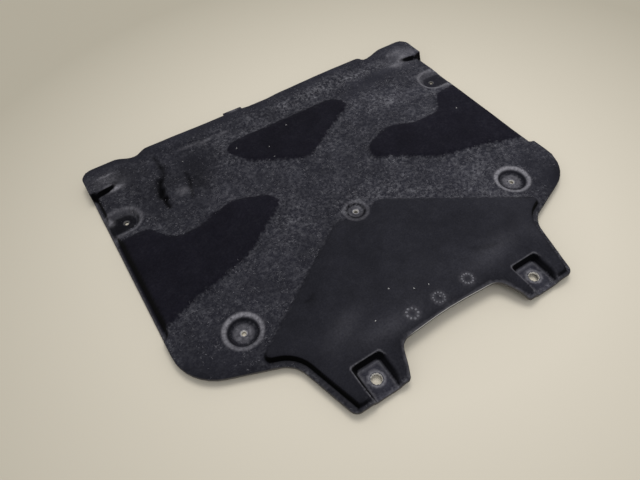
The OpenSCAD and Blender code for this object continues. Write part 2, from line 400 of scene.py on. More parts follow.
@dataclass
class SkidPlate:
    """The pressed felt sheet, with the sizes of the part's own source in millimetres."""

    width: float = 428.0
    depth: float = 368.0
    skin: float = 2.5
    arm_rise: float = 5.0
    pad_rise: float = 4.0
    front_pad_rise: float = 6.0
    pad_slope: float = 13.0
    tab_fall_w: float = 17.0
    tab_fall_y: float = 4.0
    blister_rise: float = 2.5
    blister_slope: float = 9.0
    bead_rise: float = 5.0
    bead_l: float = 300.0
    lip_rise: float = 6.0
    flange_w: float = 3.5
    flange_front_y: float = 143.0
    flange_back_y: float = 330.5
    flange_slope: float = 0.65
    step_slope: float = 0.15
    notch_flange_w: float = 5.0
    notch_slope: float = 0.4
    notch_wing: float = 30.0
    tab_x: float = 85.5
    tab_hole_y: float = 16.0
    tab_hole_r: float = 4.75
    tab_in_x: float = 63.0
    tab_out_x: float = 116.0
    tab_reach: float = 30.0
    tab_floor_w: float = 21.5
    tab_floor_d: float = 28.5
    tab_floor_rise: float = 3.3
    tab_slope: float = 0.48
    notch_x: float = 133.0
    notch_y: float = 61.0
    notch_r: float = 24.0
    front_corner_y: float = 92.0
    front_corner_r: float = 45.0
    back_corner_r: float = 13.0
    disc: tuple[float, float] = (154.0, 111.0)
    seat_r: float = 18.0
    seat_press: float = 0.5
    dish_r: float = 14.25
    dish_rise: float = 1.4
    centre: tuple[float, float] = (0.0, 167.0)
    centre_flat_r: float = 16.0
    centre_seat_r: float = 9.5
    centre_rise: float = 2.8
    side_hole: tuple[float, float] = (195.0, 286.0)
    side_floor_r: float = 9.5
    side_slope: float = 1.25
    side_shoulder: float = 2.4
    dish_wall: float = 3.0
    dish_shoulder: float = 1.6
    centre_wall: float = 2.0
    centre_flat_slope: float = 1.7
    steep_run: float = 4.0
    fastener_r: float = 2.5
    hole_narrowing: float = 0.5
    least_skin: float = 1.2
    rim_drop: float = 0.5
    rim_lift: float = 0.4
    burr_depth: float = 0.35
    over_floor: float = 0.02
    burr_x: float = 2.0
    burr_half_w: float = 50.0
    swells: tuple[tuple[float, int, float, int], ...] = (
        (0.22, 11, 95, 7),
        (0.12, 12, 34, 9),
        (0.05, 13, 12, 12),
    )
    bead_x: tuple[float, ...] = (-150, -135, -100, -60, -22, -12, 12, 27, 60, 100, 138, 150)
    bead_lift: tuple[float, ...] = (0.0, 0.3, -0.2, -1.0, -1.4, -2.2, -2.0, -0.6, 0.3, 0.9, 1.0, 0.0)
    nib_x: float = -33.0
    nib_w: float = 23.0
    nib_out: float = 3.5
    past: float = 20.0
    # The mesh's own sizes: the triangles' side, a row's height for a side of 1, and the least gaps.
    grid: float = 2.9
    row_share: float = 0.866
    edge_gap: float = 0.35
    ring_gap: float = 0.45
    grid_gap: float = 1.15
    ring_step: float = 2.0
    disc_rings: tuple[float, ...] = (8, 10, 11.2, 11.8, 12.4, 13.1, 13.8, 14.6, 16, 17.5, 18, 18.5, 19.5)
    centre_rings: tuple[float, ...] = (5.5, 6.9, 7.6, 8.3, 9.0, 9.8, 10.8, 12.5, 14.5, 16, 17.5, 19, 20.5, 22)
    foot_round: float = 0.9
    # The grooves' marks are painted shade in the dishes' walls and at the tab holes' edges.
    hole_marks: tuple[HoleMark, ...] = (
        HoleMark(Hole.DISC, Mark.RINGS, -1, 9.4, 1.5, 0.24, 0.1),
        HoleMark(Hole.DISC, Mark.RINGS, 4.6, 6.0, 1.0, 0.5),
        HoleMark(Hole.DISC, Mark.RINGS, -1, 3.5, 1.0, 1.0),
        HoleMark(Hole.DISC, Mark.GROOVE_SHADE, 9.8, 13.6, 2.4, 0.5),
        HoleMark(Hole.TAB, Mark.WEAR, 5.4, 7.2, 1.2, 0.75),
        HoleMark(Hole.TAB, Mark.GROOVE_SHADE, -1, 5.6, 0.8, 0.35),
        HoleMark(Hole.SIDE, Mark.WEAR, -1, 3.2, 1.0, 0.3),
        HoleMark(Hole.CENTRE, Mark.RINGS, -1, 3.5, 1.0, 1.0),
        HoleMark(Hole.CENTRE, Mark.RINGS, 5.0, 7.4, 1.0, 0.2),
        HoleMark(Hole.CENTRE, Mark.RINGS, 10.4, 13.4, 2.0, 0.24),
        HoleMark(Hole.CENTRE, Mark.GROOVE_SHADE, 7.6, 10.0, 1.4, 0.75),
    )
    dust: tuple[Patch, ...] = patches(
        (20, -8, 40, 12, -10, 0.35),
        (78, -38, 36, 11, -38, 0.22),
        (132, -48, 22, 26, 0, 0.35),
        (122, 100, 26, 15, -15, 0.85),
        (-61, 8, 14, 24, -40, 0.35),
        (-162, 72, 24, 9, -20, 0.25),
        (-134, 102, 11, 20, 0, 0.10),
        (-176, 125, 20, 18, 0, 0.12),
        (45, 160, 55, 6, 0, 0.9),
        (-70, 151, 36, 6, -8, 0.4),
        (125, 160, 40, 6, 0, 0.8),
        (-104, 138, 24, 24, 0, -0.36),
        (140, 142, 36, 12, 0, -0.4),
        (92, 128, 20, 12, 40, -0.2),
        (-160, 120, 30, 22, 0, -0.14),
        (178, -62, 22, 16, 0, -0.18),
        (150, 118, 20, 12, 0, 0.25),
        (-122, 96, 9, 16, 0, -0.20),
        (-186, -96, 34, 22, -40, -0.30),
        (188, -98, 28, 24, 40, -0.42),
        (203, -30, 14, 34, 0, -0.20),
    )
    shade: tuple[Patch, ...] = patches(
        (-104, 136, 26, 22, 0, -0.34),
        (-160, 122, 34, 26, 0, -0.24),
        (-190, 155, 26, 14, 0, -0.34),
        (-110, 106, 14, 18, 0, -0.45),
        (10, 125, 70, 30, 0, -0.17),
        (-185, 130, 14, 10, 0, -0.15),
        (-150, 112, 5, 16, 0, -0.3),
        (130, 98, 40, 22, -15, 0.28),
        (150, 60, 60, 60, 0, 0.06),
        (190, 155, 26, 16, 0, 0.5),
        (120, -45, 40, 30, -30, 0.2),
        (192, -90, 24, 26, 40, -0.2),
        (0, 0, 60, 40, 0, -0.06),
    )
    rubbed: tuple[Patch, ...] = patches(
        (-189, 147.0, 8, 2.6, 4, 1.25),
        (-193, 162.8, 9, 1.6, 4, 0.8),
        (-190, 155, 18, 10, 0, 0.2),
        (186, 150.5, 10, 4.5, 10, 0.9),
        (176, 148, 8, 4, -30, 0.7),
        (188, 163, 13, 4, 0, 0.5),
        (190, 155, 20, 12, 0, 0.35),
        (-208.5, 109, 3.2, 4.2, 0, 0.75),
        (-208.5, 84.0, 4.2, 3.0, 0, 0.5),
        (203, 81.5, 4.5, 2.4, 0, 0.6),
        (-79, 158, 9, 1.5, 4, 0.42),
        (-98, 161, 14, 1.2, -6, 0.34),
        (-59, 158, 8, 1.5, 0, 0.36),
        (-32, 184, 5, 1.6, 0, 0.75),
        (-131, 101, 6, 5, 0, 0.35),
    )
    # Zones of the front pad painted lighter, a painted sheen round the tabs and the moulded dots.
    painted_sheen: tuple[Patch, ...] = patches(
        (-52, -142, 30, 9, 0, 0.7),
        (-84, -122, 22, 10, 20, 0.6),
        (72, -132, 32, 10, 10, 0.7),
        (118, -138, 8, 16, 0, 0.3),
        (0, -120, 70, 30, 0, 0.15),
        (120, -95, 30, 18, -40, 0.15),
    )
    pad_back_left: Patch = Patch(-124, 56, 12, 8, 40, 5.0)
    creases: tuple[Crease, ...] = (
        Crease(((-138, 166), (-137, 151), (-139, 136), (-146, 130)), 2.6, 1.3, 0.6),
        Crease(((-138, 151), (-134, 146)), 3.4, 0.8, 0.5),
        Crease(((-145, 131), (-149, 122), (-151, 112)), 3.4, 2.0, 0.85),
        Crease(((-149, 117), (-153, 110), (-150, 103)), 3.0, 2.0, 0.9),
        Crease(((-150, 104), (-152, 98), (-151, 91)), 2.2, 1.8, 0.9),
        Crease(((-118, 127), (-119, 112), (-122, 104), (-125, 91)), 1.7, 0.9, 0.6),
        Crease(((58, -121), (68, -125), (79, -129)), 2.2, 0.5, 0.3),
        Crease(((-97, -83), (-91, -82), (-87, -80)), 1.6, 0.5, 0.4),
        Crease(((-96, -87), (-91, -86)), 1.4, 0.4, 0.3),
    )

    @property
    def half(self) -> float:
        """Half of the plate's width."""
        return self.width / 2

    @property
    def shift_y(self) -> float:
        """Distance from the tabs' front edge to the frame's origin."""
        return (self.depth + self.nib_out) / 2

    def outline(self) -> list[Corner]:
        """Lays out the plate's cut edge, with the small nib on the back.

        Returns:
            The corners, anticlockwise.
        """
        right = [
            (self.tab_in_x - 11, self.tab_reach - 2, 13),
            (self.tab_in_x + 1, 0, 4),
            (self.tab_out_x, 0, 8),
            (self.notch_x, self.notch_y, self.notch_r),
            (self.half, self.front_corner_y, self.front_corner_r),
            (self.half, self.depth, self.back_corner_r),
        ]
        nib_left, nib_right = self.nib_x - self.nib_w / 2, self.nib_x + self.nib_w / 2
        nib = [
            (nib_right, self.depth, 0.6),
            (nib_right, self.depth + self.nib_out, 0.8),
            (nib_left, self.depth + self.nib_out, 0.8),
            (nib_left, self.depth, 0.6),
        ]
        return [(0.0, self.tab_reach + 1, 260.0), *right, *nib, *mirrored(right)]

    def holes(self) -> list[tuple[float, float, float]]:
        """Lists the fastener holes.

        Returns:
            The x, y and radius of each.
        """
        found = [(self.centre[0], self.centre[1], self.fastener_r)]
        for side in (-1, 1):
            found.append((side * self.tab_x, self.tab_hole_y, self.tab_hole_r))
            found.append((side * self.disc[0], self.disc[1], self.fastener_r))
            found.append((side * self.side_hole[0], self.side_hole[1], self.fastener_r))
        return found

    def pads(self) -> dict[str, tuple[list[Corner], float, Values]]:
        """Lays out the raised forms.

        Returns:
            By name, the line halfway up the form's side, its rise and its slopes' run.
        """
        dx, dy = self.disc
        cx, cy = self.centre
        sx, sy = self.side_hole
        past_x, past_y = self.half + self.past, self.depth + self.past
        side = [
            (past_x, sy - 24, 3),
            (sx - 15, sy - 25, 14),
            (sx - 33, sy - 51, 20),
            (sx - 66, sy - 52, 28),
            (cx + 99, cy + 81, 30),
            (cx + 64, cy + 68, 14),
            (cx + 53, cy + 51, 11),
            (dx - 38, dy + 64, 60),
            (dx + 16, dy + 51, 50),
            (self.half - self.flange_w - 4, dy + 37, 30),
            (past_x, dy + 46, 3),
        ]
        back = [
            (cx, cy + 86, 20),
            (cx + 91, cy + 141, 12),
            (cx + 72, cy + 158, 16),
            (cx - 72, cy + 158, 16),
            (cx - 91, cy + 141, 12),
        ]
        blister = [
            (-sx + 45, sy - 12, 11),
            (-sx + 71, sy - 12, 11),
            (-sx + 73, sy + 18, 11),
            (-sx + 48, sy + 26, 11),
        ]
        half_bead = self.bead_l / 2
        bead = [
            (-half_bead, past_y, 4),
            (-half_bead + 4, self.depth - 8, 12),
            (-half_bead + 70, self.depth - 23, 60),
            (half_bead - 70, self.depth - 23, 60),
            (half_bead - 4, self.depth - 8, 12),
            (half_bead, past_y, 4),
        ]
        lip = [
            (past_x, past_y, 3),
            (self.half - 47, past_y, 3),
            (self.half - 48, self.flange_back_y + 26, 16),
            (self.half - 27, self.flange_back_y + 3, 26),
            (past_x, self.flange_back_y - 5, 3),
        ]
        lip_runs = [12.0, 22.0, 12.0, 2.5, 8.0]
        front, front_runs = self.front_pad()
        return {
            "side_r": (side, self.pad_rise, self.pad_slope),
            "side_l": (mirrored(side), self.pad_rise, self.pad_slope),
            "back": (back, self.pad_rise, self.pad_slope),
            "front": (front, self.front_pad_rise, front_runs),
            "blister": (blister, self.blister_rise, self.blister_slope),
            "bead": (bead, self.bead_rise, [14.0, 12.0, 14.0, 12.0, 14.0, 8.0]),
            "lip_r": (lip, self.lip_rise, lip_runs),
            "lip_l": (mirrored(lip), self.lip_rise, [lip_runs[i] for i in (3, 2, 1, 0, 4)]),
        }

    def front_pad(self) -> tuple[list[Corner], list[float]]:
        """Lays out the front pad, whose steep walls follow the notches.

        Returns:
            The line halfway up its side, and the run of each slope.
        """
        corner = np.array([self.notch_x, self.notch_y])
        n1 = outward(np.array([self.tab_out_x, 0.0]), corner)
        n2 = outward(corner, np.array([self.half, self.front_corner_y]))
        wall = self.notch_slope * self.front_pad_rise
        inset = self.notch_flange_w + wall / 2
        bend = corner - inset * (n1 + n2) / (1 + n1 @ n2)
        front_x = bend[0] + (bend[1] - self.tab_fall_y) * n1[1] / n1[0]
        end = bend + self.notch_wing * np.array([-n2[1], n2[0]])
        right = [
            (front_x, self.tab_fall_y, 1.0),
            (bend[0], bend[1], self.notch_r + inset),
            (end[0], end[1], 5.0),
            (self.centre[0] + 27, self.centre[1] - 4, 12.0),
        ]
        soft = self.pad_slope
        return [*right, *mirrored(right)], [wall, wall, soft, soft, soft, wall, wall, self.tab_fall_w]

    def cutters(self) -> dict[str, tuple[list[Corner], float, Values]]:
        """Lays out the sunk forms.

        Returns:
            By name, the outline of the form's flat floor, the floor's height and its walls' slope.
        """
        sx, sy = self.side_hole
        r = self.side_floor_r
        wall_x, past_x = self.half - self.flange_w, self.half + self.past
        flange = [
            (wall_x, self.flange_front_y, 3),
            (past_x, self.flange_front_y, 3),
            (past_x, self.flange_back_y, 3),
            (wall_x, self.flange_back_y, 3),
        ]
        slopes = [self.flange_slope, self.flange_slope, self.step_slope, self.flange_slope]
        turned = [self.step_slope, self.flange_slope, self.flange_slope, self.flange_slope]
        seat = [
            (past_x, sy - r, 2),
            (past_x, sy + r, 2),
            (sx - r, sy + r, r - 0.5),
            (sx - r, sy - r, r - 0.5),
        ]
        left, right = self.tab_x - self.tab_floor_w / 2, self.tab_x + self.tab_floor_w / 2
        tab = [
            (left, -self.past, 2),
            (right, -self.past, 2),
            (right, self.tab_floor_d, 1.5),
            (left, self.tab_floor_d, 1.5),
        ]
        return {
            "flange_r": (flange, 0.0, slopes),
            "flange_l": (mirrored(flange), 0.0, turned),
            "seat_r": (seat, 0.0, self.side_slope),
            "seat_l": (mirrored(seat), 0.0, self.side_slope),
            "tab_r": (tab, self.tab_floor_rise, self.tab_slope),
            "tab_l": (mirrored(tab), self.tab_floor_rise, self.tab_slope),
        }

    def grown(self, slope: Amount) -> Amount:
        """Gives the sideways growth that keeps one thickness through a wall of this slope."""
        return self.skin * np.tan(np.arctan(1 / slope) / 2)

    def centred(self, points: Array) -> Array:
        """Measures plan points from the frame's origin."""
        return points - np.array([0.0, self.shift_y])

    def height(self, points: Array, face: Face) -> Masks:
        """Works out the pressed sheet over plan points.

        Args:
            points: Plan points.
            face: The sheet's upper or lower face.

        Returns:
            The height "z", the crest and foot lines "crest" and "foot", and the distances outside the
            nearest pad "beside", the front pad "front", the sunk floors at the sides "side" and the
            seats around the side holes "seat".
        """
        under = face is Face.UNDER
        lift = 0.0 if under else self.skin
        found = {name: np.full(len(points), FAR) for name in ("beside", "front", "side", "seat")}
        raised, crest, foot = np.zeros((3, len(points)))
        for name, (outline, rise, run) in self.pads().items():
            d, local = distance(points, *trace(outline, run))
            grow = self.grown(local / rise) if under else 0.0
            s = np.clip(0.5 - (d + grow) / local, 0, 1)
            raised = np.maximum(raised, rise * (1 - np.cos(np.pi * s)) / 2)
            if name in ("side_r", "side_l", "back", "front"):
                found["beside"] = np.minimum(found["beside"], d)
            if name == "front":
                found["front"] = d
                foot = np.maximum(foot, 0.25 * band(d, 0.8, 2.0, 1.0) * (local < self.steep_run))
        z = self.arm_rise + lift + raised

        def press(
            z: Array, d: Array, floor: float, slope: Amount, rounding: Amount, pale: Amount = 0.0
        ) -> Array:
            """Presses a flat floor with drafted walls into the sheet.

            Args:
                z: The sheet's height so far.
                d: Distance outside the floor.
                floor: The floor's height.
                slope: The wall's run for each millimetre of height.
                rounding: The reach of the shoulder's rounding.
                pale: How pale the wall's crest and foot are rubbed.

            Returns:
                The new height.
            """
            climb = (d - (self.grown(slope) if under else 0.0)) / slope
            wall = floor + lift + soft_max(np.zeros_like(climb), climb, self.foot_round)
            line = np.clip(1 - np.abs(wall - z - 0.6) / 1.6, 0, None) * (d > -1)
            crest[:] = np.maximum(crest, pale * line)
            foot[:] = np.maximum(foot, pale * band(d, -1.2, 0.0, 0.8) * (z - floor - lift > 0.8))
            return soft_min(z, wall, rounding)

        for name, (outline, floor, slope) in self.cutters().items():
            d, local = distance(points, *trace(outline, slope))
            if name.startswith("tab"):
                across = points[:, 0] - np.mean([c[0] for c in outline])
                d = soft_max(np.abs(across) - self.tab_floor_w / 2, points[:, 1] - self.tab_floor_d, 3.0)
                # The wall towards the right is pressed softer, without a crisp rim.
                right = smooth((across - self.tab_floor_w / 2 + 2) / 5)
                right = right * smooth((self.tab_floor_d + 1 - points[:, 1]) / 4)
                z = press(z, d, floor, local + 0.25 * right, 1.0 + 2.4 * right, 1 - 0.9 * right)
                continue
            found["side"] = np.minimum(found["side"], d)
            if name.startswith("seat"):
                found["seat"] = np.minimum(found["seat"], d)
            z = press(z, d, floor, local, self.side_shoulder)
        for side in (-1, 1):
            r = away(points, side * self.disc[0], self.disc[1])
            z = press(z, r - (self.dish_r - self.dish_wall), self.dish_rise, 1.0, self.dish_shoulder)
            if not under:
                z = z - self.seat_press * smooth((self.seat_r + 0.3 - r) / 0.6)
        r = away(points, *self.centre)
        flat = self.arm_rise - self.seat_press + lift
        climb = np.clip(r - self.centre_flat_r + 1.5, 0, None) / self.centre_flat_slope
        z = soft_min(z, flat + climb, self.dish_shoulder)
        z = press(z, r - (self.centre_seat_r - self.centre_wall), self.centre_rise, 0.9, 1.2)
        return {"z": z, "crest": crest, "foot": foot, **found}

    def uneven(self, points: Array) -> Array:
        """Works out the slight unevenness of the felt, and the dents at the back left.

        Args:
            points: Plan points.

        Returns:
            The height to add, which is nothing around the holes.
        """
        z = sum(amount * waves(points, seed, size, count) for amount, seed, size, count in self.swells)
        on_bead = smooth((points[:, 1] - self.depth + 26) / 14)
        z += np.interp(points[:, 0], self.bead_x, self.bead_lift) * on_bead
        for crease in self.creases:
            z -= crease.depth * crease.profile(self.centred(points))
        still = np.ones(len(points))
        for x, y, r in self.holes():
            still *= smooth((away(points, x, y) - r - 4) / 10)
        return z * still

    def contours(self, outline: Sequence[Corner], levels: Sequence[float]) -> list[Array]:
        """Traces an outline again at each of these distances outside it."""
        return [resample(trace(outline, 0.0, level)[0], self.ring_step) for level in levels]

    def sites(self) -> tuple[Array, list[list[int]]]:
        """Lays out the mesh's plan points, close together where the sheet bends.

        Returns:
            The points, and the closed loops of the cut edge and the holes as lists of indices.
        """
        rng = np.random.default_rng(5)
        (edge,) = self.contours(self.outline(), [0.0])
        loops = [edge]
        rings: list[Array] = []
        for x, y, r in self.holes():
            count = 28 if r == self.fastener_r else 40
            loops.append(circle(x, y, r, count))
            rings += [circle(x, y, r + more, count) for more in (0.5, 1.3)]
        tangent = np.roll(edge, -1, axis=0) - np.roll(edge, 1, axis=0)
        tangent /= np.linalg.norm(tangent, axis=1)[:, None]
        inner = edge + 0.6 * np.stack([-tangent[:, 1], tangent[:, 0]], 1)
        for outline, _, run in self.pads().values():
            runs = sorted(set(run)) if isinstance(run, Sequence) else [run]
            levels = [share * run for run in runs for share in (-0.5, -0.3, -0.1, 0.1, 0.3, 0.5)]
            rings += self.contours(outline, [*levels, -runs[-1] / 2 - 1, runs[-1] / 2 + 1])
        for outline, _, slope in self.cutters().values():
            # The highest wall climbs 9.5 mm, from the flange to a pad's top.
            steep = (slope[0] if isinstance(slope, Sequence) else slope) * 9.5
            levels = [-0.8, 0.0, 0.3, *np.linspace(0.09, 1.0, 8) * steep, steep + 0.8, steep + 1.8]
            rings += self.contours(outline, levels)
        seats = [(self.disc, r) for r in self.disc_rings]
        seats += [((-self.disc[0], self.disc[1]), r) for r in self.disc_rings]
        seats += [(self.centre, r) for r in self.centre_rings]
        for spot, r in seats:
            rings.append(circle(*spot, r, max(24, round(2 * math.pi * r / 1.3)), rng.uniform()))
        rows = []
        for i, y in enumerate(np.arange(-5, self.depth + 6, self.grid * self.row_share)):
            x = np.arange(-self.half - 4, self.half + 4, self.grid) + (i % 2) * self.grid / 2
            rows.append(np.stack([x, np.full(len(x), y)], 1))
        grid = np.concatenate(rows)
        grid += rng.uniform(-0.2, 0.2, grid.shape)
        crowd = Crowd()
        for loop in loops:
            crowd.add(loop)
        kept: list[Array] = []
        gaps = [self.edge_gap, *[self.ring_gap] * len(rings), self.grid_gap]
        for points, gap in zip([inner, *rings, grid], gaps):
            good = outside(points, edge) < (-0.5 if points is inner else -0.95)
            for x, y, r in self.holes():
                good &= away(points, x, y) > r + 0.3
            for p in points[good]:
                if crowd.is_free(p, gap):
                    crowd.add([p])
                    kept.append(p)
        ends = np.cumsum([len(loop) for loop in loops]).tolist()
        indices = [list(range(end - len(loop), end)) for end, loop in zip(ends, loops)]
        return np.concatenate([*loops, np.array(kept)]), indices

    def triangles(self) -> tuple[Array, Array]:
        """Joins the plan points to triangles, within the cut edge and outside the holes.

        Returns:
            The plan points, and each triangle's three indices, anticlockwise.
        """
        points, loops = self.sites()
        sides = [(loop[i], loop[(i + 1) % len(loop)]) for loop in loops for i in range(len(loop))]
        coords, _, faces, *_ = delaunay_2d_cdt([tuple(p) for p in points], sides, [], 0, 1e-6)
        plan = np.array([tuple(c) for c in coords])
        tris = np.array([f for f in faces if len(f) == 3])
        middle = plan[tris].mean(1)
        good = outside(middle, points[loops[0]]) < 0
        for x, y, r in self.holes():
            good &= away(middle, x, y) > r * 0.98
        tris = tris[good]
        used = np.unique(tris)
        remap = np.full(len(plan), -1)
        remap[used] = np.arange(len(used))
        plan, tris = plan[used], remap[tris]
        a, b, c = (plan[tris[:, i]] for i in range(3))
        area = (b[:, 0] - a[:, 0]) * (c[:, 1] - a[:, 1]) - (b[:, 1] - a[:, 1]) * (c[:, 0] - a[:, 0])
        tris[area < 0] = tris[area < 0][:, ::-1]
        return plan, tris

    def build(self) -> bpy.types.Object:
        """Builds the pressed sheet as one closed mesh with its masks as attributes.

        Returns:
            The sheet's object, still without a material.
        """
        plan, tris = self.triangles()
        pairs = np.concatenate([tris[:, [0, 1]], tris[:, [1, 2]], tris[:, [2, 0]]])
        seen = {(int(i), int(j)) for i, j in pairs}
        rim = [(i, j) for i, j in seen if (j, i) not in seen]
        count = len(plan)
        on_rim = np.zeros(count, bool)
        on_rim[[i for i, _ in rim]] = True
        top = self.height(plan, Face.TOP)
        bump = self.uneven(plan)
        z_low = np.maximum(self.height(plan, Face.UNDER)["z"] + bump, self.over_floor)
        z_top = np.maximum(top["z"] + bump, z_low + self.least_skin)
        z_top[on_rim] -= self.rim_drop
        z_low[on_rim] += self.rim_lift
        bores = np.zeros(count, bool)
        lower = plan.copy()
        for x, y, r in self.holes():
            near = on_rim & (away(plan, x, y) < r * 1.1)
            bores |= near
            # A punched hole in felt narrows a little downwards, where fibres stand in it.
            lower[near] = (x, y) + (plan[near] - (x, y)) * (1 - self.hole_narrowing / r)
        # A third ring of points lies just under the upper rim, so that the bright band of painted hole light
        # and of the burr stays thin.
        ring = {int(v): 2 * count + k for k, v in enumerate(np.flatnonzero(on_rim))}
        flat = np.concatenate([plan, lower, plan[on_rim]])
        high = np.concatenate([z_top, z_low, z_top[on_rim] - self.burr_depth])
        verts = np.column_stack([flat[:, 0], flat[:, 1] - self.shift_y, high]) * MM
        polys = [tuple(t) for t in (*tris.tolist(), *(tris[:, ::-1] + count).tolist())]
        polys += [(j, i, ring[i], ring[j]) for i, j in rim]
        polys += [(ring[j], ring[i], i + count, j + count) for i, j in rim]
        mesh = bpy.data.meshes.new("pressed_sheet")
        mesh.from_pydata(verts.tolist(), [], polys)
        mesh.update()
        mesh.shade_smooth()
        normals = np.empty(len(verts) * 3, np.float32)
        mesh.vertices.foreach_get("normal", normals)
        steep = 1 - normals.reshape(-1, 3)[:count, 2]
        for name, (over, under, foot) in self.layers(plan, top, steep, on_rim, bores).items():
            layer = mesh.attributes.new(name, "FLOAT", "POINT")
            layer.data.foreach_set("value", np.concatenate([over, under, foot[on_rim]]).astype(np.float32))
        LOG.info("pressed sheet: %d vertices, %d faces", len(verts), len(polys))
        return placed("pressed_sheet", mesh)

    def layers(
        self, plan: Array, top: Masks, steep: Array, on_rim: Array, bores: Array
    ) -> dict[str, tuple[Array, Array, Array]]:
        """Gives each mask on the upper face, on the lower face and at the foot of the rim's burr.

        Args:
            plan: Plan points.
            top: The upper face's height, lines and distances.
            steep: How far the upper face turns from level, from 0 to 1.
            on_rim: Which points lie on the cut edge or on a hole's edge.
            bores: Which points lie on a hole's edge.

        Returns:
            Three rows of values for each mask.
        """
        x, y = plan[:, 0], plan[:, 1]
        masks = self.masks(plan, top)
        # Steep walls are painted darker all round, a painted shade, less so round the discs; they also get
        # fewer pale fibres and less wear.
        round_discs = band(np.hypot(np.abs(x) - self.disc[0], y - self.disc[1]), -1, 20, 2)
        masks["tone_and_shade"] *= 1 - (0.9 - 0.5 * round_discs) * smooth((steep - 0.2) / 0.22)
        masks["dust"] *= 1 - smooth((steep - 0.12) / 0.2)
        masks["wear"] *= 1 - smooth((steep - 0.25) / 0.2)
        masks["cut"] = (on_rim & ~bores).astype(float)
        # The holes' edges are painted near white, painted light seen through the holes, and the cut between
        # the tabs gets a bright burr of the same colour.
        middle = self.between_tabs(x) * (y < self.tab_reach + 14)
        masks["burr_and_hole_light"] = np.maximum(bores, 0.75 * masks["cut"] * middle)
        gathered = smooth(0.45 + 0.9 * waves(plan, 21, 18, 12))
        masks["loose"] = masks["dust"] * smooth(masks["beside"] / 5 + 0.4) * gathered
        # The side holes get little of the holes' painted light at their rim and none down their bore.
        at_side = np.abs(np.abs(x) - self.side_hole[0]) < 6
        masks["burr_and_hole_light"] *= 1 - 0.7 * (bores & at_side)
        # Under the front edge between the tabs, the rim's lower half and the lower face's edge are painted
        # near black, a painted shadow in the gap under the raised edge; the rest of the lower face gets a
        # tone of 0.8.
        under = {
            "beside": masks["beside"],
            "cut": masks["cut"] * (1 - middle),
            "burr_and_hole_light": bores & ~at_side,
            "tone_and_shade": np.where(middle * masks["cut"] > 0.5, 0.05, 0.8),
        }
        foot = {"burr_and_hole_light": bores, "tone_and_shade": 1 - 0.95 * middle, "cut": 1 - middle, "wear": 1 - middle}
        none = np.zeros(len(plan))
        return {name: (v, under.get(name, none), v * foot.get(name, 1.0)) for name, v in masks.items()}

    def between_tabs(self, x: Array) -> Array:
        """Gives 1 along the concave front edge between the tabs, where the cut left a bright burr."""
        return smooth((self.burr_half_w - np.abs(x - self.burr_x)) / 14)

    def round_holes(self, plan: Array) -> dict[Mark, Array]:
        """Works out what is seen round the holes.

        Args:
            plan: Plan points.

        Returns:
            The values of each kind of mark.
        """
        found = {kind: np.zeros(len(plan)) for kind in Mark}
        spots = {
            Hole.DISC: self.disc,
            Hole.TAB: (self.tab_x, self.tab_hole_y),
            Hole.SIDE: self.side_hole,
            Hole.CENTRE: self.centre,
        }
        for side in (-1, 1):
            right = 0.5 + 0.5 * side
            for mark in self.hole_marks:
                r = away(plan, side * spots[mark.hole][0], spots[mark.hole][1])
                cover = (mark.amount + mark.right * right) * band(r, mark.inner, mark.outer, mark.soft)
                found[mark.kind] = np.maximum(found[mark.kind], cover)
            # The flat rim of a round seat is rubbed pale, and painted paler at its back and on the right
            # seat, a painted sheen of the light from behind.
            dx, dy = plan[:, 0] - side * self.disc[0], plan[:, 1] - self.disc[1]
            r = np.hypot(dx, dy)
            back_sheen = np.clip((dy + 0.3 * dx) / np.maximum(r, 1), -1, 1)
            rim = (0.7 + 0.28 * right + 0.28 * back_sheen) * band(r, self.dish_r + 0.2, self.seat_r + 0.1, 2.2)
            found[Mark.RINGS] = np.maximum(found[Mark.RINGS], rim)
        return found

    def masks(self, plan: Array, top: Masks) -> Masks:
        """Gives the values that place the felt's colours.

        Args:
            plan: Plan points.
            top: The upper face's height, lines and distances.

        Returns:
            The millimetres "beside" the nearest pad, the cover "front" of the front pad, the tone that scales
            the colour, which holds painted shade and a painted sheen, the "dust" of raised pale fibres and
            the "wear" of rubbed places, which also holds some painted sheen.
        """
        x, y = plan[:, 0], plan[:, 1]
        centred = self.centred(plan)
        inside = -outside(plan, trace(self.outline(), 0.0)[0])
        beside, seat = top["beside"], top["seat"]
        marks = self.round_holes(plan)
        # right grows towards the plate's right side: the seats' pale rims and slopes are painted paler there,
        # a painted sheen, and the seats' painted shade lighter.
        right = smooth(0.5 + x / 100)
        sunk = smooth(0.8 - top["side"] / 2)
        # The plate's edge, the side seats' slopes and the walls' ends are rubbed pale.
        hem = band(seat, 4.6, 8.2, 2.6) * (0.34 + 0.3 * right)
        slope = band(seat, 0.0, 6.0, 3.0) * smooth((y - self.side_hole[1] + 2) / 8) * (0.16 + 0.1 * right)
        edge = 0.3 * band(inside, -1, 2.0, 1.4) * np.maximum(sunk, smooth(1 - beside / 6))
        burr = band(inside, -1, 0.5, 0.4) * self.between_tabs(x) * smooth((self.tab_reach + 14 - y) / 8)
        worn = [marks[Mark.WEAR], hem, slope, 0.55 * top["crest"], 0.35 * top["foot"], edge, 0.9 * burr]
        worn += [patch.cover(centred) for patch in self.rubbed]
        for place in MARKS:
            r = away(centred, *place)
            worn.append(0.2 * band(r, 3.4, 6.6, 2.4) + 0.05 * np.exp(-((r / 12) ** 2)))
        wear = np.maximum.reduce(worn)

        # Pale fibres stand up most beside the pads, and least on the back edge and the sunk floors.
        halo = np.exp(-np.clip(beside, 0, None) / 8)
        dust = 0.42 + 0.3 * halo + covers(self.dust, centred)
        dust *= 0.9 + 0.35 * np.clip(centred[:, 0] / 200, -0.6, 1)
        dust *= (0.3 + 0.7 * smooth((self.depth - 4 - y) / 12)) * (1 - 0.85 * sunk)
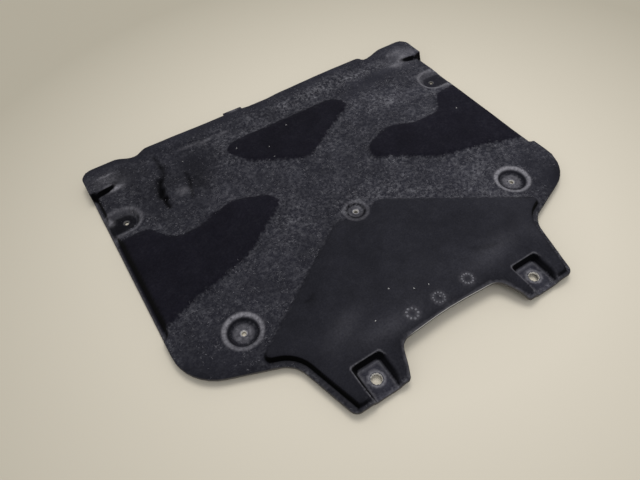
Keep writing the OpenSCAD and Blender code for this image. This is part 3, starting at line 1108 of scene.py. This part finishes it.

        # The felt is painted lighter towards the right and darker towards the left, a painted sheen of the
        # light from behind on the right.
        tone_and_shade = 1.0 + 0.14 * np.clip(centred[:, 0] / 200, -1, 1)
        for patch in self.shade:
            tone_and_shade *= 1 + patch.cover(centred)
        # The grooves round the holes and the sunk seats are painted darker, a painted shade in these hollows,
        # more in the left seats; the left seat also gets a painted crescent of shadow on its inner wall.
        shaded = (0.3 + 0.35 * (1 - right)) * sunk * smooth(1.5 - seat / 4)
        tone_and_shade *= (1 - 0.75 * marks[Mark.GROOVE_SHADE]) * (1 - shaded)
        shadow_crescent = band(seat, 1.5, 4.5, 1.5) * smooth((-x - 100) / 20)
        tone_and_shade *= 1 - 0.6 * (shadow_crescent * smooth((x + self.side_hole[0] - 6) / 5))
        on_floor = smooth(1 - np.abs(np.abs(x) - self.tab_x) / self.tab_floor_w * 2 + 0.3)
        tone_and_shade *= 1 + 1.2 * (on_floor * (y < self.tab_floor_d + 0.5))
        tone_and_shade *= 1 - 0.25 * smooth(1 - inside / 14) * smooth((120 - y) / 30)
        # Each fold is painted darker along its line, a painted shadow in the crease, with fewer pale fibres
        # in it.
        for crease in self.creases:
            profile = crease.profile(centred)
            tone_and_shade *= 1 - crease.shade * profile
            dust *= 1 - min(1, crease.shade * 1.3) * profile
        # The notches' walls beside the front pad are painted near black, a painted shade, with few pale
        # fibres on them.
        notch_shade = smooth((np.abs(x) - 98) / 6) * smooth((self.front_corner_y - 6 - y) / 10)
        tone_and_shade *= 1 - 0.8 * notch_shade * band(top["front"], -1.2, 1.2, 1.2)
        dust *= 1 - notch_shade * band(top["front"], -2.5, 2.5, 1.4)

        # The back pad's dark colour fades out at its left end, and the left pad's stands out at its back.
        beside = beside + 26 * smooth((-x - 52) / 34) * smooth((centred[:, 1] - 88) / 10)
        beside = beside - self.pad_back_left.cover(centred)
        front = smooth(0.5 - top["front"] / 4)
        # The front pad is painted lighter in these zones, a painted sheen, which also lifts its wear a
        # little.
        painted_sheen = front * np.clip(covers(self.painted_sheen, centred), 0, 1)
        tone_and_shade *= 1 + 0.4 * painted_sheen
        wear = np.maximum(wear, 0.13 * painted_sheen)
        return {
            "beside": beside,
            "front": front,
            "tone_and_shade": np.clip(tone_and_shade, 0.05, 2),
            "dust": np.clip(dust, 0, 1.4),
            "wear": np.clip(np.maximum(0.84 * wear, marks[Mark.RINGS]), 0, 1),
        }


@dataclass(frozen=True)
class Grain:
    """A noise pattern of one real size, whose values from low to high become least to most."""

    size_mm: float
    detail: float
    rough: float
    low: float
    high: float
    least: float = 0.0
    most: float = 1.0


FELT_GRAINS = {
    # The pads' edge is a little ragged, where the mould's pressure ends.
    "ragged": Grain(5.0, 4, 0.6, 0.25, 0.75, -2.6, 2.6),
    "grit": Grain(1.5, 2, 0.8, 0.25, 0.75, 0.78, 1.22),
    "mottle": Grain(22.0, 5, 0.6, 0.3, 0.7, 0.82, 1.18),
    # Pale fibres stand in fine flecks, gathered in clumps, with a brighter tuft here and there.
    "fleck": Grain(3.0, 2, 0.75, 0.4, 0.72, 0.0, 0.56),
    "clump": Grain(7.0, 3, 0.6, 0.36, 0.66, 0.35, 1.0),
    "drift": Grain(22.0, 2, 0.6, 0.38, 0.62, 0.6, 1.15),
    "gather": Grain(9.0, 2, 0.6, 0.48, 0.58, 0.0, 0.26),
    "rub": Grain(2.4, 4, 0.7, 0.32, 0.62, 0.3, 1.0),
    "fine": Grain(0.9, 3, 0.8, 0.0, 1.0, 0.0, 0.7),
    "lumpy": Grain(3.2, 3, 0.6, 0.0, 1.0, 0.0, 0.8),
}


@dataclass(frozen=True)
class PressedFelt:
    """Needled polyester and polypropylene felt, pressed hard in a hot mould: matt and fibrous."""

    pad: str = "#18171f"
    # The front pad's colour is the pads' colour painted lighter, a painted sheen.
    front: str = "#25252b"
    arm: str = "#292930"
    fluff: str = "#a9a8ae"
    worn: str = "#96949a"
    cut: str = "#55524f"
    # Near white: the painted light seen through the holes, and the bright burr along the cut between the
    # tabs.
    burr_and_hole_light: str = "#efece6"
    roughness: float = 0.92
    specular: float = 0.05
    sheen: float = 0.01
    tuft_mm: float = 6.0
    pile_mm: float = 0.4

    def material(self) -> bpy.types.Material:
        """Builds the felt from the sheet's masks and the grains.

        Returns:
            The node material.
        """
        mat, tree, shader = new_material("needled_felt_hot_pressed", self.roughness, self.specular)
        place = node(tree, "ShaderNodeTexCoord", out="Object")
        made: dict[str, Socket] = {}
        for name in ("beside", "front", "tone_and_shade", "dust", "wear", "cut", "burr_and_hole_light"):
            made[name] = node(tree, "ShaderNodeAttribute", out="Fac", attribute_name=name)
        ends = ("Value", "From Min", "From Max", "To Min", "To Max")
        for name, grain in FELT_GRAINS.items():
            noise = {"Vector": place, "Scale": 1 / (grain.size_mm * MM)}
            noise |= {"Detail": grain.detail, "Roughness": grain.rough}
            found = node(tree, "ShaderNodeTexNoise", noise)
            span = (found, grain.low, grain.high, grain.least, grain.most)
            made[name] = node(tree, "ShaderNodeMapRange", dict(zip(ends, span)))
        line = node(tree, "ShaderNodeMath", {0: made["beside"], 1: made["ragged"]}, operation="ADD")
        tufts = {"Vector": place, "Scale": 1 / (self.tuft_mm * MM)}
        cells = node(tree, "ShaderNodeTexVoronoi", tufts, "Distance")
        for name, span in (
            ("tuft", (cells, 0.34, 0.12, 0, 1)),
            ("pad", (line, 1.6, -1.6, 0, 1)),
            ("off_pad", (line, 1.6, -1.6, 0.8, 0.05)),
        ):
            made[name] = node(tree, "ShaderNodeMapRange", dict(zip(ends, span)))
        for name, kind, first, second in (
            ("gritty", "MULTIPLY", "tone_and_shade", "grit"),
            ("shade", "MULTIPLY", "gritty", "mottle"),
            ("patchy", "MULTIPLY", "clump", "drift"),
            ("tufts", "MULTIPLY", "tuft", "gather"),
            ("fluffy", "ADD", "fleck", "tufts"),
            ("lying", "MULTIPLY", "dust", "patchy"),
            ("cover", "MULTIPLY", "lying", "off_pad"),
            ("fluff", "MULTIPLY", "cover", "fluffy"),
            ("worn", "MULTIPLY", "wear", "rub"),
            ("pile", "ADD", "fine", "lumpy"),
        ):
            made[name] = node(tree, "ShaderNodeMath", {0: made[first], 1: made[second]}, operation=kind)
        colour = linear(self.arm)
        # The shade darkens or lightens the felt's own colours, and the paler coats lie over them.
        for name, coat in (
            ("pad", self.pad),
            ("front", self.front),
            ("shade", ""),
            ("fluff", self.fluff),
            ("worn", self.worn),
            ("cut", self.cut),
            ("burr_and_hole_light", self.burr_and_hole_light),
        ):
            if coat:
                ends = {"Factor": made[name], 6: colour, 7: linear(coat)}
                colour = node(tree, "ShaderNodeMix", ends, 2, data_type="RGBA")
            else:
                scaled = {0: colour, "Scale": made[name]}
                colour = node(tree, "ShaderNodeVectorMath", scaled, operation="SCALE")
        link(tree, colour, shader.inputs["Base Color"])
        shader.inputs["Sheen Weight"].default_value = self.sheen
        shader.inputs["Sheen Roughness"].default_value = 0.5
        pile = {"Height": made["pile"], "Distance": self.pile_mm * MM, "Strength": 0.6}
        link(tree, node(tree, "ShaderNodeBump", pile), shader.inputs["Normal"])
        return mat


@dataclass(frozen=True)
class PaleFibre:
    """Bare polyester fibres that the mould's heat left unbound: paler than the felt and uneven."""

    name: str
    dark: str
    pale: str
    roughness: float = 0.85
    specular: float = 0.2
    patch_mm: float = 3.0
    bump_mm: float = 0.1

    def material(self) -> bpy.types.Material:
        """Builds the fibres' patchy grey.

        Returns:
            The node material.
        """
        mat, tree, shader = new_material(self.name, self.roughness, self.specular)
        place = node(tree, "ShaderNodeTexCoord", out="Object")
        patchy = {"Vector": place, "Scale": 1 / (self.patch_mm * MM), "Detail": 3.0}
        noise = node(tree, "ShaderNodeTexNoise", patchy)
        share = node(tree, "ShaderNodeMapRange", {"Value": noise, "From Min": 0.35, "From Max": 0.65})
        ends = {"Factor": share, 6: linear(self.dark), 7: linear(self.pale)}
        link(tree, node(tree, "ShaderNodeMix", ends, 2, data_type="RGBA"), shader.inputs["Base Color"])
        bump = {"Height": noise, "Distance": self.bump_mm * MM, "Strength": 0.4}
        link(tree, node(tree, "ShaderNodeBump", bump), shader.inputs["Normal"])
        return mat


class Shape(Enum):
    """What lies at each place."""

    FIBRE = "fibre"
    DOT = "dot"


@dataclass(frozen=True)
class Strewn:
    """Small things laid over the sheet by Geometry Nodes, in millimetres.

    Without spots they are strewn by the sheet's "loose" attribute. Else one lies under each spot,
    which is given as x, y and scale and is cast down on the sheet from above_m metres.
    """

    name: str
    shape: Shape
    finish: PaleFibre
    size: float
    thick: float
    seed: int
    per_m2: float = 0.0
    spots: tuple[Spot, ...] = ()
    above_m: float = 0.1

    def tree(self) -> bpy.types.GeometryNodeTree:
        """Builds the node group that lays the things.

        Returns:
            The group, with its object, numbers and material as named inputs.
        """
        tree = bpy.data.node_groups.new(f"lay_{self.name}", "GeometryNodeTree")
        kinds = {"Geometry": "Geometry", "Sheet": "Object", "Seed": "Int", "Material": "Material"}
        kinds |= {"Density": "Float", "Size": "Float", "Thickness": "Float"}
        for name, kind in kinds.items():
            tree.interface.new_socket(name, in_out="INPUT", socket_type=f"NodeSocket{kind}")
        tree.interface.new_socket("Geometry", in_out="OUTPUT", socket_type="NodeSocketGeometry")
        given = tree.nodes.new("NodeGroupInput").outputs
        points, scale = self.places(tree, given)
        lean = 0.25 if self.shape is Shape.FIBRE else 0.0
        turns = {0: (-lean, -lean, 0), 1: (lean, lean, 2 * math.pi), "Seed": given["Seed"]}
        turn = node(tree, "FunctionNodeRandomValue", turns, data_type="FLOAT_VECTOR")
        things = {"Points": points, "Instance": self.thing(tree, given), "Rotation": turn, "Scale": scale}
        laid = node(tree, "GeometryNodeInstanceOnPoints", things)
        real = node(tree, "GeometryNodeRealizeInstances", {"Geometry": laid})
        dressed = node(tree, "GeometryNodeSetMaterial", {"Geometry": real, "Material": given["Material"]})
        link(tree, dressed, tree.nodes.new("NodeGroupOutput").inputs["Geometry"])
        return tree

    def places(self, tree: Tree, given: Sockets) -> tuple[Socket, Socket]:
        """Finds the places on the sheet.

        Args:
            tree: The node group.
            given: The group's inputs.

        Returns:
            The points, and the scale at each.
        """
        name = {"Name": "size" if self.spots else "loose"}
        value = node(tree, "GeometryNodeInputNamedAttribute", name, "Attribute", data_type="FLOAT")
        if self.spots:
            sheet = node(tree, "GeometryNodeObjectInfo", {"Object": given["Sheet"]}, "Geometry")
            ray = {"Target Geometry": sheet, "Ray Direction": (0, 0, -1), "Ray Length": 2 * self.above_m}
            hit = node(tree, "GeometryNodeRaycast", ray, "Hit Position")
            moved = {"Geometry": given["Geometry"], "Position": hit}
            return node(tree, "GeometryNodeSetPosition", moved), value
        density = node(tree, "ShaderNodeMath", {0: given["Density"], 1: value}, operation="MULTIPLY")
        found = {"Mesh": given["Geometry"], "Density": density, "Seed": given["Seed"]}
        sizes = {2: 0.5, 3: 1.5, "Seed": given["Seed"]}
        scale = node(tree, "FunctionNodeRandomValue", sizes, 1, data_type="FLOAT")
        return node(tree, "GeometryNodeDistributePointsOnFaces", found, "Points"), scale

    def thing(self, tree: Tree, given: Sockets) -> Socket:
        """Shapes one bent fibre or one flat dot.

        Args:
            tree: The node group.
            given: The group's inputs.

        Returns:
            The thing's geometry.
        """
        if self.shape is Shape.DOT:
            ball = node(tree, "GeometryNodeMeshIcoSphere", {"Radius": given["Size"], "Subdivisions": 2})
            flat = {"Geometry": ball, "Scale": (1, 1, self.thick / self.size)}
            return node(tree, "GeometryNodeTransform", flat)
        bend: dict[str | int, object] = {"Resolution": 3}
        for end, way in (("Start", (-0.5, 0, 0.02)), ("Middle", (0, 0.5, 0.3)), ("End", (0.5, 0, 0.05))):
            sized = {0: way, "Scale": given["Size"]}
            bend[end] = node(tree, "ShaderNodeVectorMath", sized, operation="SCALE")
        curve = node(tree, "GeometryNodeCurveQuadraticBezier", bend)
        ring = node(tree, "GeometryNodeCurvePrimitiveCircle", {"Resolution": 3, "Radius": given["Thickness"]})
        return node(tree, "GeometryNodeCurveToMesh", {"Curve": curve, "Profile Curve": ring})

    def build(self, sheet: bpy.types.Object) -> bpy.types.Object:
        """Lays the things over the sheet and keeps them as a plain mesh.

        Args:
            sheet: The pressed sheet.

        Returns:
            The new object, with its material.
        """
        mesh = sheet.data
        if self.spots:
            mesh = bpy.data.meshes.new(f"{self.name}_spots")
            mesh.from_pydata([(x * MM, y * MM, self.above_m) for x, y, _ in self.spots], [], [])
            size = mesh.attributes.new("size", "FLOAT", "POINT")
            size.data.foreach_set("value", [spot[2] for spot in self.spots])
        piece = placed(self.name, mesh)
        values = {
            "Sheet": sheet,
            "Density": self.per_m2,
            "Size": self.size * MM,
            "Thickness": self.thick * MM,
            "Seed": self.seed,
            "Material": self.finish.material(),
        }
        modifier = piece.modifiers.new("lay", "NODES")
        modifier.node_group = self.tree()
        for item in modifier.node_group.interface.items_tree:
            if item.in_out == "INPUT" and item.name in values:
                modifier[item.identifier] = values[item.name]
        evaluated = piece.evaluated_get(bpy.context.evaluated_depsgraph_get())
        result = bpy.data.meshes.new_from_object(evaluated)
        piece.modifiers.remove(modifier)
        piece.data = result
        result.name = self.name
        LOG.info("%s: %d vertices, %d faces", self.name, len(result.vertices), len(result.polygons))
        return piece


def ring_of(x: float, y: float, radius: float, count: int, scale: float, turn: float = 0.0) -> list[Spot]:
    """Gives spots of one scale evenly round a circle, turned by an angle in radians."""
    angles = [turn + 2 * math.pi * i / count for i in range(count)]
    return [(x + radius * math.cos(a), y + radius * math.sin(a), scale) for a in angles]


def scattered(places: Sequence[tuple[float, float]], count: int, spread: float, seed: int) -> list[Spot]:
    """Gives a few spots close round each place.

    Args:
        places: The places as x and y.
        count: Number of spots round each.
        spread: Their usual distance from the place.
        seed: Seed of the distances and scales.

    Returns:
        The spots as x, y and scale.
    """
    rng = np.random.default_rng(seed)
    found = []
    for x, y in places:
        for dx, dy in rng.normal(0, spread, (count, 2)):
            found.append((float(x + dx), float(y + dy), float(rng.uniform(0.6, 1.3))))
    return found


LINT_BACK = ((-114, 144), (-58, 124), (-27, 106), (-30, 90), (6, 126), (179, 39))
LINT_FRONT = ((-31, -112), (-13, -124), (-59, -131), (0, -128))
LINT_SPOTS = tuple(scattered((*LINT_BACK, *LINT_FRONT), count=3, spread=0.2, seed=3))
PIP_SPOTS = (
    *ring_of(*MARKS[0], 5.0, 9, 1.5, 0.3),
    *ring_of(*MARKS[1], 5.0, 12, 1.0),
    (0.5, -142.5, 1.1),
    (2.0, -143.6, 0.8),
    *ring_of(*MARKS[2], 4.8, 12, 1.3),
)
GREY_FIBRE = PaleFibre("loose_grey_fibre", "#4f4e54", "#98979d")
WHITE_LINT = PaleFibre("white_lint", "#a8a6a6", "#f2f1ee")
RUBBED_PIP = PaleFibre("rubbed_pip", "#504f55", "#7d7c82", patch_mm=1.2)
STREWN = (
    Strewn("loose_fibres", Shape.FIBRE, GREY_FIBRE, size=1.4, thick=0.085, seed=7, per_m2=400000.0),
    Strewn("lint", Shape.FIBRE, WHITE_LINT, size=1.1, thick=0.15, seed=8, spots=LINT_SPOTS),
    Strewn("mould_pips", Shape.DOT, RUBBED_PIP, size=0.8, thick=0.35, seed=9, spots=PIP_SPOTS),
)


def placed(name: str, data: bpy.types.ID) -> bpy.types.Object:
    """Puts a new object with this data into the scene."""
    made = bpy.data.objects.new(name, data)
    bpy.context.scene.collection.objects.link(made)
    return made


def new_material(
    name: str, roughness: float, specular: float
) -> tuple[bpy.types.Material, Tree, bpy.types.Node]:
    """Makes a material with a Principled shader.

    Args:
        name: The material's name.
        roughness: The shader's roughness.
        specular: The shader's specular level.

    Returns:
        The material, its node tree and the shader node.
    """
    mat = bpy.data.materials.new(name)
    mat.use_nodes = True
    shader = next(n for n in mat.node_tree.nodes if n.type == "BSDF_PRINCIPLED")
    shader.inputs["Roughness"].default_value = roughness
    shader.inputs["Specular IOR Level"].default_value = specular
    return mat, mat.node_tree, shader


def link(tree: Tree, source: Socket, target: Socket) -> None:
    """Links one socket to another."""
    tree.links.new(source, target)


def node(
    tree: Tree,
    kind: str,
    inputs: dict[str | int, object] | None = None,
    out: str | int = 0,
    **settings: object,
) -> Socket:
    """Adds a node with its settings, values and links.

    Args:
        tree: The tree that gets the node.
        kind: The node's type name.
        inputs: Values or sockets for its inputs, by name or index.
        out: The output that is wanted, by name or index.
        settings: Properties of the node.

    Returns:
        That output of the new node.
    """
    made = tree.nodes.new(kind)
    for name, value in settings.items():
        setattr(made, name, value)
    for key, value in (inputs or {}).items():
        if isinstance(value, Socket):
            link(tree, value, made.inputs[key])
        else:
            made.inputs[key].default_value = value
    return made.outputs[out]


@dataclass
class Studio:
    """The floor, soft lamps, world and camera, which aren't part of the object."""

    # The floor is painted lighter round a spot near the plate and darker away from it, a painted pool of
    # light.
    floor_far: str = "#b9b2a1"
    floor_near: str = "#e2dac9"
    floor_half: float = 6.0
    painted_pool_spot: tuple[float, float, float] = (0.03, -0.04, 0.0)
    bright_m: float = 0.19
    dim_m: float = 0.5
    eye_mm: tuple[float, float, float] = (-199.0, -295.0, 402.5)
    right: tuple[float, float, float] = (0.8419, -0.5381, -0.0411)
    up: tuple[float, float, float] = (0.4481, 0.6546, 0.6089)
    forward: tuple[float, float, float] = (0.3008, 0.5311, -0.7922)
    lens: float = 29.79

    def floor(self) -> bpy.types.Object:
        """Builds the pale floor that the plate lies on, painted lighter near the plate: a painted pool of
        light.

        Returns:
            The floor's object.
        """
        mesh = bpy.data.meshes.new("floor")
        size = self.floor_half
        corners = [(-size, -size, 0), (size, -size, 0), (size, size, 0), (-size, size, 0)]
        mesh.from_pydata(corners, [], [(0, 1, 2, 3)])
        floor = placed("floor", mesh)
        mat, tree, shader = new_material("matt_laminate_tabletop", 0.9, 0.05)
        place = node(tree, "ShaderNodeTexCoord", out="Object")
        spot = {0: place, 1: self.painted_pool_spot}
        near = node(tree, "ShaderNodeVectorMath", spot, "Value", operation="DISTANCE")
        reach = {"Value": near, "From Min": self.bright_m, "From Max": self.dim_m}
        fade = node(tree, "ShaderNodeMapRange", reach)
        ends = {"Factor": fade, 6: linear(self.floor_near), 7: linear(self.floor_far)}
        link(tree, node(tree, "ShaderNodeMix", ends, 2, data_type="RGBA"), shader.inputs["Base Color"])
        mesh.materials.append(mat)
        return floor

    def lamps(self) -> None:
        """Hangs the soft lamps, the largest behind the plate as a window is."""
        for name, place, size, power, colour in (
            ("window", (0.75, 1.15, 3.3), 1.8, 50.0, (1.0, 0.99, 0.97)),
            ("fill", (-0.3, -1.4, 2.2), 1.2, 8.0, (0.97, 0.98, 1.0)),
        ):
            data = bpy.data.lights.new(name, "AREA")
            data.size, data.energy, data.color = size, power, colour
            towards = Matrix.Translation(place)
            turn = (-towards.translation).normalized().to_track_quat("-Z", "Y")
            placed(name, data).matrix_world = towards @ turn.to_matrix().to_4x4()

    def world(self) -> None:
        """Sets the even light from all round."""
        world = bpy.data.worlds.new("studio")
        bpy.context.scene.world = world
        world.use_nodes = True
        back = next(n for n in world.node_tree.nodes if n.type == "BACKGROUND")
        back.inputs["Color"].default_value = (0.97, 0.98, 1.0, 1)
        back.inputs["Strength"].default_value = 0.5

    def camera(self) -> None:
        """Stands the camera where the photograph was taken from."""
        data = bpy.data.cameras.new("camera")
        data.lens = self.lens
        data.sensor_width = 36.0
        camera = placed("camera", data)
        rows = [[self.right[i], self.up[i], -self.forward[i], self.eye_mm[i] * MM] for i in range(3)]
        camera.matrix_world = Matrix([*rows, [0, 0, 0, 1]])
        bpy.context.scene.camera = camera


def main() -> None:
    """Builds the plate and the studio, and reports each piece."""
    logging.basicConfig(level=logging.INFO, format="%(message)s")
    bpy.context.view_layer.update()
    bpy.context.scene.view_settings.view_transform = "Standard"
    studio = Studio()
    studio.camera()
    studio.floor()
    studio.lamps()
    studio.world()
    plate = SkidPlate()
    felt = PressedFelt().material()
    sheet = plate.build()
    sheet.data.materials.append(felt)
    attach(sheet, BODY)
    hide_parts(NODE)
    for strewn in STREWN:
        piece = strewn.build(sheet)
        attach(piece, BODY)
    LOG.info("all pieces ride on %s", BODY)


if __name__ == "__main__":
    main()
